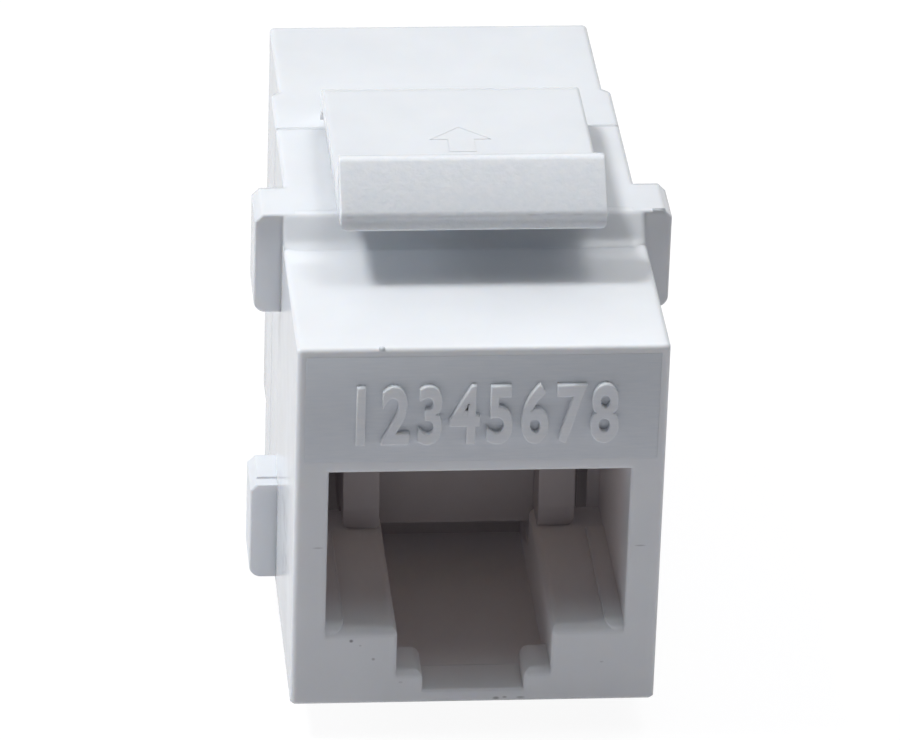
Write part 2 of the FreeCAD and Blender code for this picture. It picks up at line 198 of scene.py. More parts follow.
def soft_box(box: Box, rounding: float) -> bmesh.types.BMesh:
    """A box with all its edges rounded, shaded as small trim.

    Args:
        box: The box's corners.
        rounding: The width of the edges' rounding, in mm.

    Returns:
        The mesh, in metres.
    """
    shape = bmesh.new()
    low, high = (millimetres(*corner) for corner in box)
    place = Matrix.Translation((low + high) / 2) @ Matrix.Diagonal((high - low).to_4d())
    bmesh.ops.create_cube(shape, size=1.0, matrix=place)
    bevel_edges(shape, shape.edges[:], rounding, TRIM_SEGMENTS)
    shade_by_angle(shape, TRIM_CREASE)
    return shape


def cut(shape: bmesh.types.BMesh, place: Vector, normal: Point) -> None:
    """Cut every face that a plane crosses.

    Args:
        shape: The mesh to cut.
        place: A point on the plane, in metres.
        normal: The plane's normal.
    """
    everything = shape.verts[:] + shape.edges[:] + shape.faces[:]
    bmesh.ops.bisect_plane(shape, geom=everything, plane_co=place, plane_no=normal)


def draw_out(shape: bmesh.types.BMesh, way: Vector, keep: bool = True) -> None:
    """Extrude all the faces of a mesh and move the new ones.

    Args:
        shape: The mesh.
        way: How far and where the new faces move, in metres.
        keep: Whether the operator is told to keep the first faces.
    """
    drawn = bmesh.ops.extrude_face_region(shape, geom=shape.faces[:], use_keep_orig=keep)
    moved = [item for item in drawn["geom"] if isinstance(item, bmesh.types.BMVert)]
    bmesh.ops.translate(shape, verts=moved, vec=way)


# Finishes

class NodeBench:
    """Adds nodes to one material's tree in plain calls."""

    def __init__(self, name: str) -> None:
        """Start a new material with an empty tree.

        Args:
            name: The material's name.
        """
        self.material = bpy.data.materials.new(name)
        self.material.use_nodes = True
        self.tree = self.material.node_tree
        self.tree.nodes.clear()

    def add(self, kind: str, inputs: Optional[dict] = None, **settings: object) -> bpy.types.Node:
        """Add a node.

        Args:
            kind: The node's type, without the ShaderNode in front.
            inputs: Values, or sockets to link from, by the input's name or number.
            settings: Properties of the node itself.

        Returns:
            The new node.
        """
        node = self.tree.nodes.new("ShaderNode" + kind)
        for name, value in settings.items():
            setattr(node, name, value)
        for name, value in (inputs or {}).items():
            if isinstance(value, bpy.types.NodeSocket):
                self.tree.links.new(value, node.inputs[name])
            else:
                node.inputs[name].default_value = value
        return node

    def noise(self, grain: Sequence[float], detail: float = 3.0) -> bpy.types.NodeSocket:
        """A noise on Object coordinates.

        Args:
            grain: The size of its spots across X, Y and Z, in mm.
            detail: The noise's detail.

        Returns:
            The noise's value.
        """
        place = self.add("TexCoord").outputs["Object"]
        scale = [1.0 / (size * MM) for size in grain]
        mapped = self.add("Mapping", {"Vector": place, "Scale": scale}).outputs["Vector"]
        return self.add("TexNoise", {"Vector": mapped, "Scale": 1.0, "Detail": detail}).outputs["Fac"]

    def spread(
        self, value: bpy.types.NodeSocket, low: float, high: float, middle: Span = (0.3, 0.7)
    ) -> bpy.types.NodeSocket:
        """Stretch the middle of a value's range to another range.

        Args:
            value: The value, such as a noise.
            low: What it becomes where the middle starts.
            high: What it becomes where the middle ends.
            middle: Where the middle starts and ends.

        Returns:
            The stretched value.
        """
        start, end = middle
        inputs = {"Value": value, "From Min": start, "From Max": end, "To Min": low, "To Max": high}
        return self.add("MapRange", inputs).outputs["Result"]

    def blend(self, factor: bpy.types.NodeSocket, low: object, high: object) -> bpy.types.NodeSocket:
        """Mix two colours, each a Colour or a socket, by a factor.

        Args:
            factor: 0 gives the first colour, 1 the second.
            low: The first colour.
            high: The second colour.

        Returns:
            The mixed colour.
        """
        inputs = {"Factor": factor}
        for name, colour in (("A", low), ("B", high)):
            inputs[name] = colour if isinstance(colour, bpy.types.NodeSocket) else (*colour, 1.0)
        return self.add("Mix", inputs, data_type="RGBA").outputs["Result"]

    def spot(self, place: Point, reach: Point) -> bpy.types.NodeSocket:
        """A soft spot: 1 at a place on the object, falling to 0.

        Args:
            place: The spot's middle, in mm.
            reach: How far from the middle it has fallen to 0 along each axis, in mm.

        Returns:
            The spot's value.
        """
        here = self.add("TexCoord").outputs["Object"]
        ends = {0: here, 1: millimetres(*place)}
        away = self.add("VectorMath", ends, operation="SUBTRACT").outputs["Vector"]
        shares = [1.0 / (size * MM) for size in reach]
        scaled = self.add("VectorMath", {0: away, 1: shares}, operation="MULTIPLY").outputs["Vector"]
        length = self.add("VectorMath", {0: scaled}, operation="LENGTH").outputs["Value"]
        inputs = {"Value": length, "From Min": SPOT_CORE, "From Max": 1.0, "To Min": 1.0, "To Max": 0.0}
        return self.add("MapRange", inputs).outputs["Result"]

    def depth_share(self, middle: float, mouth: float, deep: float) -> bpy.types.NodeSocket:
        """How deep a point lies in a socket: 0 at the mouth, 1 from a depth on, for both ends alike.

        Args:
            middle: The depth halfway between the two sockets, in mm.
            mouth: The distance from the middle to the mouth, in mm.
            deep: The distance from the middle at which the share reaches 1, in mm.

        Returns:
            The share.
        """
        here = self.add("TexCoord").outputs["Object"]
        depth = self.add("SeparateXYZ", {"Vector": here}).outputs["Y"]
        off = self.add("Math", {0: depth, 1: middle * MM}, operation="SUBTRACT").outputs["Value"]
        distance = self.add("Math", {0: off}, operation="ABSOLUTE").outputs["Value"]
        return self.spread(distance, 0.0, 1.0, (mouth * MM, deep * MM))

    def times(self, first: bpy.types.NodeSocket, second: object) -> bpy.types.NodeSocket:
        """A value times another one, which is a number or a socket."""
        return self.add("Math", {0: first, 1: second}, operation="MULTIPLY").outputs["Value"]

    def larger(self, first: bpy.types.NodeSocket, second: bpy.types.NodeSocket) -> bpy.types.NodeSocket:
        """The larger of two values."""
        return self.add("Math", {0: first, 1: second}, operation="MAXIMUM").outputs["Value"]

    def softened(self, radius: float, samples: int = 6) -> bpy.types.NodeSocket:
        """A normal that turns smoothly over the edges, within a radius in mm."""
        return self.add("Bevel", {"Radius": radius * MM}, samples=samples).outputs["Normal"]

    def bump(
        self, height: bpy.types.NodeSocket, depth: float, normal: Optional[bpy.types.NodeSocket] = None
    ) -> bpy.types.NodeSocket:
        """A normal from a height between 0 and 1.

        Args:
            height: The height.
            depth: What a height of 1 stands for, in mm.
            normal: The normal to start from, if it isn't the face's own.

        Returns:
            The normal.
        """
        inputs = {"Height": height, "Strength": 1.0, "Distance": depth * MM}
        if normal is not None:
            inputs["Normal"] = normal
        return self.add("Bump", inputs).outputs["Normal"]

    def output(self, shader: bpy.types.NodeSocket) -> bpy.types.Material:
        """Link the last shader to the surface and give the material back."""
        self.add("OutputMaterial", {"Surface": shader})
        return self.material


@dataclass(frozen=True)
class Mark:
    """A speck, scratch or darker patch: its place in the part's frame and its reach along each axis, in mm.

    A flecked mark shows in flecks only.
    """

    place: Point
    reach: Point
    strength: float
    flecked: bool = False


# Dark specks and short lines on the front, and a darker patch in flecks on the port's left side
SHELL_MARKS: tuple[Mark, ...] = (
    Mark((-4.99, 0.0, -5.14), (0.10, 0.2, 0.09), 0.75),
    Mark((-4.08, 0.0, -6.00), (0.09, 0.2, 0.08), 0.40),
    Mark((-4.62, 0.0, -5.36), (0.07, 0.2, 0.05), 0.25),
    Mark((-6.42, 0.0, -0.82), (0.26, 0.2, 0.045), 0.30),
    Mark((6.55, 0.0, -0.93), (0.27, 0.2, 0.045), 0.30),
    Mark((0.95, 0.0, -7.92), (0.16, 0.3, 0.09), 0.55),
    Mark((1.30, 0.0, -7.88), (0.12, 0.3, 0.06), 0.45),
    Mark((1.95, 0.0, -7.90), (0.22, 0.3, 0.07), 0.40),
    Mark((3.05, 0.0, -5.75), (0.08, 0.2, 0.06), 0.30),
    Mark((5.20, 0.0, -6.30), (0.10, 0.2, 0.05), 0.22),
    Mark((-2.95, 0.0, -7.10), (0.12, 0.2, 0.06), 0.22),
    # Darker in flecks on the port's left side, in front of the lower ear
    Mark((-7.40, 5.2, -3.20), (0.4, 4.2, 2.9), 0.15, flecked=True),
)

LIP_MARKS: tuple[Mark, ...] = (
    Mark((2.35, 5.65, 11.11), (0.30, 0.4, 0.05), 0.26),
    Mark((3.10, 5.65, 11.14), (0.34, 0.4, 0.04), 0.20),
    Mark((4.15, 5.65, 11.10), (0.30, 0.4, 0.05), 0.22),
    Mark((-5.00, 5.65, 11.08), (0.22, 0.4, 0.08), 0.24),
)


@dataclass(frozen=True)
class MouldedPlastic:
    """Injection-moulded plastic: clouded colour, the mould's grain, light seeping through the wall, and a
    painted glow where one is set.

    Towards the sockets' depth the colour turns to a painted warm shade, if there is one. Sizes in mm.
    """

    name: str
    colour: Colour
    shade: Colour
    roughness: Span
    grain: Grain
    marks: tuple[Mark, ...] = ()
    mark_colour: Colour = (0.10, 0.10, 0.11)
    # Painted warm shade that the colour turns to deep in the sockets, where it starts and where it is full
    painted_shade: Optional[Colour] = None
    painted_shade_from: float = 13.8
    painted_shade_to: float = 11.0
    middle: float = 14.0
    clouds: Point = (3.0, 3.0, 3.0)
    translucence: float = 0.34
    scatter: Colour = (1.0, 0.82, 0.66)
    scatter_depth: float = 0.45
    # A painted glow in the plastic, and its colour
    painted_glow: float = 0.0
    painted_glow_colour: Colour = (1.0, 0.91, 0.97)
    edge_radius: float = 0.06
    flecks: Point = (0.8, 1.1, 0.6)
    fleck_middle: Span = (0.48, 0.62)
    ior: float = 1.52

    def material(self) -> bpy.types.Material:
        """Build the material.

        Returns:
            The material.
        """
        bench = NodeBench(self.name)
        size, depth = self.grain.value
        clouds = bench.spread(bench.noise(self.clouds), 0.0, 1.0)
        colour = bench.blend(clouds, self.shade, self.colour)
        # Painted warm shade: the colour turns warmer deeper into the sockets
        if self.painted_shade is not None:
            share = bench.depth_share(self.middle, self.painted_shade_from, self.painted_shade_to)
            colour = bench.blend(share, colour, self.painted_shade)
        for mark in self.marks:
            share = bench.times(bench.spot(mark.place, mark.reach), mark.strength)
            if mark.flecked:
                flecks = bench.spread(bench.noise(self.flecks), 0.0, 1.0, self.fleck_middle)
                share = bench.times(share, flecks)
            colour = bench.blend(share, colour, self.mark_colour)
        surface = bench.noise(size)
        shader = bench.add(
            "BsdfPrincipled",
            {
                "Base Color": colour,
                "Roughness": bench.spread(surface, *self.roughness),
                "Normal": bench.bump(surface, depth, bench.softened(self.edge_radius)),
                "IOR": self.ior,
                "Subsurface Weight": self.translucence,
                "Subsurface Radius": self.scatter,
                "Subsurface Scale": self.scatter_depth * MM,
                # The painted glow
                "Emission Color": (*self.painted_glow_colour, 1.0),
                "Emission Strength": self.painted_glow,
            },
        )
        return bench.output(shader.outputs["BSDF"])


@dataclass(frozen=True)
class PlatedStrip:
    """Gold-plated spring strip, faintly drawn along its length. Sizes in mm."""

    name: str = "gold_plated_strip"
    colour: Colour = (0.93, 0.70, 0.33)
    shade: Colour = (0.84, 0.60, 0.26)
    streaks: Point = (0.06, 1.6, 0.06)
    streak_depth: float = 0.002
    clouds: Point = (0.8, 0.8, 0.8)
    roughness: Span = (0.18, 0.32)

    def material(self) -> bpy.types.Material:
        """Build the material.

        Returns:
            The material.
        """
        bench = NodeBench(self.name)
        streaks = bench.noise(self.streaks)
        clouds = bench.spread(bench.noise(self.clouds), 0.0, 1.0)
        shader = bench.add(
            "BsdfPrincipled",
            {
                "Base Color": bench.blend(clouds, self.shade, self.colour),
                "Metallic": 1.0,
                "Roughness": bench.spread(streaks, *self.roughness),
                "Normal": bench.bump(streaks, self.streak_depth),
            },
        )
        return bench.output(shader.outputs["BSDF"])


@dataclass(frozen=True)
class SolderResist:
    """Grey-white solder resist over the board's glass weave, with a faint painted glow. Sizes in mm."""

    name: str = "solder_resist_painted_glow"
    colour: Colour = (0.36, 0.33, 0.34)
    shade: Colour = (0.31, 0.285, 0.295)
    weave: Point = (0.5, 0.5, 0.5)
    weave_depth: float = 0.01
    roughness: Span = (0.28, 0.42)
    # A faint painted glow in the board's own colour
    painted_glow: float = 0.05

    def material(self) -> bpy.types.Material:
        """Build the material.

        Returns:
            The material.
        """
        bench = NodeBench(self.name)
        weave = bench.noise(self.weave)
        clouds = bench.spread(weave, 0.0, 1.0)
        shader = bench.add(
            "BsdfPrincipled",
            {
                "Base Color": bench.blend(clouds, self.shade, self.colour),
                "Roughness": bench.spread(weave, *self.roughness),
                "Normal": bench.bump(weave, self.weave_depth),
                # The painted glow
                "Emission Color": (*self.colour, 1.0),
                "Emission Strength": self.painted_glow,
            },
        )
        return bench.output(shader.outputs["BSDF"])


@dataclass(frozen=True)
class PaleFloor:
    """A pale floor that the camera and mirrors see as white, with the object's shadow on it."""

    name: str = "pale_floor"
    bounce: Colour = (0.64, 0.63, 0.65)
    seen: Colour = (0.11, 0.11, 0.115)
    glow: float = 0.93
    mirrored_glow: float = 0.62

    def material(self) -> bpy.types.Material:
        """Build the material.

        Returns:
            The material.
        """
        bench = NodeBench(self.name)
        path = bench.add("LightPath")
        levels = {
            "Is Camera Ray": self.glow,
            "Is Glossy Ray": self.mirrored_glow,
            "Is Transmission Ray": self.glow,
        }
        strength = None
        seen = None
        for kind, level in levels.items():
            share = path.outputs[kind]
            part = bench.times(share, level)
            strength = part if strength is None else bench.larger(strength, part)
            seen = share if seen is None else bench.larger(seen, share)
        glow = bench.add("Emission", {"Color": (1.0, 1.0, 1.0, 1.0), "Strength": strength})
        colour = bench.blend(seen, self.bounce, self.seen)
        paper = bench.add("BsdfDiffuse", {"Color": colour})
        both = bench.add("AddShader", {0: paper.outputs["BSDF"], 1: glow.outputs["Emission"]})
        return bench.output(both.outputs["Shader"])


WHITE: Colour = (0.80, 0.825, 0.86)
WHITE_SHADE: Colour = (0.77, 0.795, 0.83)
MOTTLED: Colour = (0.755, 0.79, 0.835)
# Painted warm shade: the white plastic's colour as its shade looks deep in the sockets
PAINTED_WARM_SHADE: Colour = (0.80, 0.765, 0.78)
NATURAL: Colour = (0.58, 0.545, 0.565)
NATURAL_SHADE: Colour = (0.545, 0.51, 0.53)
LIP_LINES: Colour = (0.40, 0.41, 0.43)


@dataclass
class Finishes:
    """Every finish of the object, made once."""

    shell: bpy.types.Material
    socket: bpy.types.Material
    deep: bpy.types.Material
    shoulder: bpy.types.Material
    eased: bpy.types.Material
    seam: bpy.types.Material
    sparked: bpy.types.Material
    drawn: bpy.types.Material
    carrier: bpy.types.Material
    strip: bpy.types.Material
    board: bpy.types.Material

    @classmethod
    def make(cls) -> "Finishes":
        """Build all the materials.

        Returns:
            The finishes.
        """
        polished = (0.12, 0.18)
        smooth = (0.30, 0.38)
        rough = (0.40, 0.52)
        white = (WHITE, WHITE_SHADE)
        natural = (NATURAL, NATURAL_SHADE)
        return cls(
            shell=MouldedPlastic(
                "white_shell", *white, polished, Grain.POLISHED, SHELL_MARKS, edge_radius=0.26
            ).material(),
            # The sockets' lining: painted warm shade deeper in, and a faint painted glow
            socket=MouldedPlastic(
                "white_socket_painted_shade_glow", *white, smooth, Grain.POLISHED, painted_shade=PAINTED_WARM_SHADE, painted_glow=0.010
            ).material(),
            # The channel deep between the sockets: painted warm shade deeper in
            deep=MouldedPlastic("white_deep_painted_shade", *white, smooth, Grain.POLISHED, painted_shade=PAINTED_WARM_SHADE).material(),
            shoulder=MouldedPlastic("white_shoulder", *white, smooth, Grain.POLISHED).material(),
            eased=MouldedPlastic(
                "white_eased", *white, smooth, Grain.POLISHED, edge_radius=0.34
            ).material(),
            seam=MouldedPlastic(
                "white_seam", *white, smooth, Grain.POLISHED, edge_radius=0.005
            ).material(),
            sparked=MouldedPlastic(
                "white_sparked", WHITE, MOTTLED, rough, Grain.SPARKED, LIP_MARKS, LIP_LINES,
                clouds=(0.30, 0.30, 0.30),
            ).material(),
            drawn=MouldedPlastic(
                "white_drawn", WHITE, MOTTLED, rough, Grain.DRAWN, clouds=(1.1, 0.5, 0.10)
            ).material(),
            carrier=MouldedPlastic("natural_carrier", *natural, rough, Grain.POLISHED).material(),
            strip=PlatedStrip().material(),
            board=SolderResist().material(),
        )


# Pieces

@dataclass(frozen=True)
class SmoothCopy:
    """A smooth-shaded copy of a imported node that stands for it."""

    node: str
    slot: Slot
    crease: float = MOULDED_CREASE

    def build(self, finish: bpy.types.Material) -> bpy.types.Object:
        """Copy, merge and shade the node.

        Args:
            finish: The material of the whole piece.

        Returns:
            The piece, riding on the coupler.
        """
        shape = bmesh.new()
        shape.from_mesh(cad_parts[self.node].data)
        bmesh.ops.remove_doubles(shape, verts=shape.verts[:], dist=MERGE_DISTANCE)
        shade_by_angle(shape, self.crease)
        piece = make_object(shape, self.node + "_dressed")
        piece.data.materials.clear()
        piece.data.materials.append(finish)
        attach(piece, Body.COUPLER.value)
        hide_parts(self.node)
        return piece


@dataclass(frozen=True)
class Shells:
    """The two halves of the housing, and where their faces line the sockets. Sizes in mm."""

    nodes: tuple[str, ...] = ("front_housing", "rear_housing")
    socket_low: Point = (-6.06, 0.02, -7.65)
    socket_high: Point = (6.06, 27.98, 5.4)
    middle: float = 14.0
    between: float = 4.1
    channel: float = 3.2
    ears: float = 7.42

    def lining(self, face: bpy.types.MeshPolygon) -> Lining:
        """What a face lines.

        Args:
            face: A face of either half.

        Returns:
            Its lining: a socket, the channel deep between the two, a lower ear or the outside.
        """
        if abs(face.center.x) > self.ears * MM and face.center.z < 0:
            return Lining.LOWER_EAR
        limits = zip(millimetres(*self.socket_low), face.center, millimetres(*self.socket_high))
        if not all(low < value < high for low, value, high in limits):
            return Lining.OUTSIDE
        beyond = abs(face.center.y - self.middle * MM) > self.between * MM
        beside = abs(face.center.x) > self.channel * MM
        return Lining.SOCKET if beyond or beside else Lining.DEEP

    def build(self, finishes: Finishes) -> list[bpy.types.Object]:
        """Make both halves in the shell's finish, with the sockets' lining in its own.

        Args:
            finishes: The object's materials.

        Returns:
            The two pieces.
        """
        pieces = []
        for node in self.nodes:
            piece = SmoothCopy(node, Slot.HOUSING).build(finishes.shell)
            # The sockets' lining and the deep channel carry painted warm shade, the sockets also a painted
            # glow
            # After the shell's finish, in the order of Lining
            for finish in (finishes.socket, finishes.deep, finishes.shoulder):
                piece.data.materials.append(finish)
            for face in piece.data.polygons:
                face.material_index = self.lining(face).value
            pieces.append(piece)
        return pieces


@dataclass(frozen=True)
class Works:
    """What stands inside: the contact carriers, the board and the two combs of spring contacts."""

    ends: tuple[str, ...] = ("front", "rear")
    contact_count: int = 8

    def build(self, finishes: Finishes) -> list[bpy.types.Object]:
        """Make every piece inside the housing.

        Args:
            finishes: The object's materials.

        Returns:
            The pieces.
        """
        pieces = [SmoothCopy("circuit_board", Slot.BOARD).build(finishes.board)]
        for end in self.ends:
            pieces.append(SmoothCopy(f"{end}_contact_insert", Slot.CARRIER).build(finishes.carrier))
            for number in range(1, self.contact_count + 1):
                pieces.append(SmoothCopy(f"{end}_contact_{number}", Slot.CONTACT).build(finishes.strip))
        return pieces


@dataclass(frozen=True)
class LatchTongue:
    """The sprung tongue, moulded on to the rear shell at its root and bending there. Sizes in mm."""

    half_width: float = 5.35
    root_half_width: float = 4.95
    shoulder: float = 17.9
    shoulder_run: float = 0.02
    thickness: float = 0.85
    hinge_depth: float = 19.2
    hinge_height: float = 8.775
    ramp_run: float = 1.9
    root_length: float = 0.5
    root_sink: float = 0.003
    plate_bottom: float = 10.45
    hook_rear: float = 7.8
    hook_rise: float = 1.57
    hook_crown: float = 0.4
    hook_ramp_run: float = 1.75
    lip_drop: float = 0.14
    lip_lean: float = 0.05
    lip_hollow: float = 0.07
    lip_hollow_height: float = 0.42
    bend_rounding: float = 0.55
    bend_segments: int = 6
    hook_rounding: float = 0.16
    hook_segments: int = 4
    root_rounding: float = 0.3
    root_segments: int = 5
    edge_rounding: float = 0.14
    edge_segments: int = 3
    lip_corner: float = 0.32
    lip_corner_cuts: int = 5
    lip_corner_run: float = 0.9
    bend_cuts: int = 14
    crease: float = MOULDED_CREASE
    spark_slope: float = 0.25
    arrow_middle: float = 12.3
    arrow_length: float = 2.3
    arrow_width: float = 2.5
    arrow_shaft: float = 1.1
    arrow_head: float = 1.15
    arrow_proud: float = 0.010

    def outline(self) -> list[tuple[float, float, float, int]]:
        """The side view as (depth, height, rounding, segments of the rounding), root first.

        Returns:
            The corners in order round the outline.
        """
        half = self.thickness / 2
        plate_top = self.plate_bottom + self.thickness
        rise = self.plate_bottom + half - self.hinge_height
        slope = math.atan2(rise, self.ramp_run)
        lean = half * math.sin(slope)
        lift = half * math.cos(slope)

        def on_ramp(side: int, height: float) -> float:
            """The depth at which a face of the ramp, upper (1) or lower (-1), reaches a height."""
            climb = height - (self.hinge_height + side * lift)
            return self.hinge_depth + side * lean - climb / math.tan(slope)

        root = self.hinge_depth + self.root_length
        root_top = self.hinge_height + half - self.root_sink
        crown_front = self.hook_rear - self.hook_crown
        crown_top = plate_top + self.hook_rise
        ramp_foot = crown_front - self.hook_ramp_run
        hollow_height = self.plate_bottom + self.lip_hollow_height
        sharp = (0.0, 0)
        hooked = (self.hook_rounding, self.hook_segments)
        bent = (self.bend_rounding, self.bend_segments)
        return [
            (root, self.hinge_height - half + self.root_sink, *sharp),
            (root, root_top, *sharp),
            (on_ramp(1, root_top), root_top, self.bend_rounding, self.root_segments),
            (on_ramp(1, plate_top), plate_top, *bent),
            (self.hook_rear, plate_top, self.root_rounding, self.root_segments),
            (self.hook_rear, crown_top, *hooked),
            (crown_front, crown_top, *hooked),
            (ramp_foot, plate_top - self.lip_drop, *hooked),
            (ramp_foot + self.lip_hollow, hollow_height, *hooked),
            (ramp_foot - self.lip_lean, self.plate_bottom, *hooked),
            (on_ramp(-1, self.plate_bottom), self.plate_bottom, *bent),
            (self.hinge_depth - lean, self.hinge_height - lift, *sharp),
        ]

    def shape(self) -> bmesh.types.BMesh:
        """The tongue's mesh: the outline, rounded, drawn across and cut across its ramp.

        Returns:
            The mesh, in metres.
        """
        shape = bmesh.new()
        corners = self.outline()
        places = [millimetres(-self.half_width, depth, height) for depth, height, _, _ in corners]
        verts = [shape.verts.new(place) for place in places]
        shape.faces.new(verts)
        for vert, (_, _, rounding, segments) in zip(verts, corners):
            if rounding > 0:
                bmesh.ops.bevel(
                    shape, geom=[vert], offset=rounding * MM, offset_type="OFFSET", segments=segments,
                    profile=0.5, affect="VERTICES", material=-1, clamp_overlap=True,
                )
        draw_out(shape, millimetres(2 * self.half_width, 0, 0), keep=False)
        bmesh.ops.recalc_face_normals(shape, faces=shape.faces[:])
        for side in (-self.half_width, self.half_width):
            rim = [vert for vert in shape.verts if abs(vert.co.x - side * MM) < MERGE_DISTANCE]
            bevel_edges(shape, edges_between(rim), self.edge_rounding, self.edge_segments)
        cut_start = self.hinge_depth
        cut_end = self.hinge_depth - self.ramp_run - self.bend_rounding
        for number in range(self.bend_cuts + 1):
            depth = cut_start + (cut_end - cut_start) * number / self.bend_cuts
            cut(shape, millimetres(0, depth, 0), DEPTH_AXIS)
        self.narrow_root(shape)
        self.round_lip(shape)
        return shape

    def narrow_root(self, shape: bmesh.types.BMesh) -> None:
        """Draw the sides in behind the shoulder, where the tongue enters its seat.

        Args:
            shape: The tongue's mesh.
        """
        for depth in (self.shoulder, self.shoulder + self.shoulder_run):
            cut(shape, millimetres(0, depth, 0), DEPTH_AXIS)
        behind = (self.shoulder + self.shoulder_run / 2) * MM
        for vert in shape.verts:
            if vert.co.y > behind:
                vert.co.x *= self.root_half_width / self.half_width

    def round_lip(self, shape: bmesh.types.BMesh) -> None:
        """Round the two lower corners of the lip, fading out towards the rear.

        Args:
            shape: The tongue's mesh.
        """
        radius = self.lip_corner
        front = self.hook_rear - self.hook_crown - self.hook_ramp_run - self.lip_lean
        start = self.half_width - radius
        for number in range(self.lip_corner_cuts):
            across = start + radius * number / self.lip_corner_cuts
            for side in (-across, across):
                cut(shape, millimetres(side, 0, 0), WIDTH_AXIS)
        cut(shape, millimetres(0, front + self.lip_corner_run, 0), DEPTH_AXIS)
        for vert in shape.verts:
            x, depth, height = vert.co / MM
            out = min(max(abs(x) - start, 0.0), radius)
            share = min(max(1.0 - (depth - front) / self.lip_corner_run, 0.0), 1.0)
            corner = self.plate_bottom + radius - math.sqrt(radius * radius - out * out)
            lift = max(corner - height, 0.0) * share
            vert.co.z += lift * MM

    def build(self, finishes: Finishes) -> bpy.types.Object:
        """Make the tongue and give the hook's lead-in the sparked finish.

        Args:
            finishes: The object's materials.

        Returns:
            The piece.
        """
        shape = self.shape()
        shade_by_angle(shape, self.crease)
        for face in shape.faces:
            forward = face.normal.y < -self.spark_slope
            on_hook = face.calc_center_median().y < self.hook_rear * MM
            face.material_index = 1 if forward and on_hook else 0
        piece = make_object(shape, "latch_tongue_dressed")
        piece.data.materials.append(finishes.shell)
        piece.data.materials.append(finishes.sparked)
        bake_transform(piece)
        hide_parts("latch_tongue")
        return piece

    def arrow(self, finishes: Finishes) -> bpy.types.Object:
        """A faint raised hairline on the plate: the outline of an arrow that points to the rear.

        Args:
            finishes: The object's materials.

        Returns:
            The piece, riding on the latch.
        """
        tail = self.arrow_middle - self.arrow_length / 2
        tip = tail + self.arrow_length
        neck = tip - self.arrow_head
        shaft = self.arrow_shaft / 2
        wing = self.arrow_width / 2
        corners = [
            (-shaft, tail), (shaft, tail), (shaft, neck), (wing, neck),
            (0.0, tip), (-wing, neck), (-shaft, neck),
        ]
        foot = self.plate_bottom + self.thickness - self.arrow_proud
        shape = bmesh.new()
        face = shape.faces.new([shape.verts.new(millimetres(x, depth, foot)) for x, depth in corners])
        # The hairline has no width: its inner rim stands where the outer one does
        bmesh.ops.inset_region(shape, faces=[face], thickness=0.0, use_even_offset=True, use_boundary=True)
        bmesh.ops.delete(shape, geom=[face], context="FACES")
        bmesh.ops.recalc_face_normals(shape, faces=shape.faces[:])
        draw_out(shape, millimetres(0, 0, 2 * self.arrow_proud))
        bmesh.ops.recalc_face_normals(shape, faces=shape.faces[:])
        shade_by_angle(shape, self.crease)
        piece = make_object(shape, "latch_arrow")
        piece.data.materials.append(finishes.shoulder)
        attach(piece, Body.LATCH.value)
        return piece


@dataclass(frozen=True)
class FrontLegend:
    """The faintly raised panel over the socket, with the plain numbers of its contacts. Sizes in mm."""

    left: float = -7.05
    right: float = 7.05
    bottom: float = 3.06
    top: float = 7.76
    proud: float = 0.02
    sunk: float = 0.04
    corner: float = 0.02
    numbers: str = "12345678"
    size: float = 3.5
    condensed: float = 0.66
    baseline: float = 4.02
    relief: float = 0.26
    weight: float = 0.10
    rounding: float = 0.06
    rounding_steps: int = 2
    spacing: float = 1.20

    def panel(self, finishes: Finishes) -> bpy.types.Object:
        """The panel itself.

        Args:
            finishes: The object's materials.

        Returns:
            The piece.
        """
        box = ((self.left, -self.proud, self.bottom), (self.right, self.sunk, self.top))
        piece = make_object(soft_box(box, self.corner), "legend_panel")
        piece.data.materials.append(finishes.drawn)
        return piece

    def row(self, finishes: Finishes) -> bpy.types.Object:
        """The raised numbers of the contacts, in condensed figures.

        Args:
            finishes: The object's materials.

        Returns:
            The piece.
        """
        curve = bpy.data.curves.new("numbers", "FONT")
        curve.body = self.numbers
        curve.align_x = "CENTER"
        curve.size = self.size * MM
        curve.space_character = self.spacing
        curve.extrude = (self.relief - self.rounding) * MM
        curve.bevel_depth = self.rounding * MM
        curve.bevel_resolution = self.rounding_steps
        curve.offset = (self.weight - self.rounding) * MM
        maker = bpy.data.objects.new("numbers", curve)
        bpy.context.scene.collection.objects.link(maker)
        mesh = bpy.data.meshes.new_from_object(maker)
        bpy.data.objects.remove(maker)
        narrow = Matrix.Diagonal((self.condensed, 1.0, 1.0, 1.0))
        upright = Matrix.Rotation(math.radians(90.0), 4, "X") @ narrow
        mesh.transform(Matrix.Translation(millimetres(0.0, 0.0, self.baseline)) @ upright)
        piece = bpy.data.objects.new("legend_numbers", mesh)
        bpy.context.scene.collection.objects.link(piece)
        piece.data.materials.clear()
        piece.data.materials.append(finishes.drawn)
        return piece

    def build(self, finishes: Finishes) -> list[bpy.types.Object]:
        """Make the panel and its numbers, riding on the coupler.

        Args:
            finishes: The object's materials.

        Returns:
            The pieces.
        """
        pieces = [self.panel(finishes), self.row(finishes)]
        for piece in pieces:
            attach(piece, Body.COUPLER.value)
        return pieces


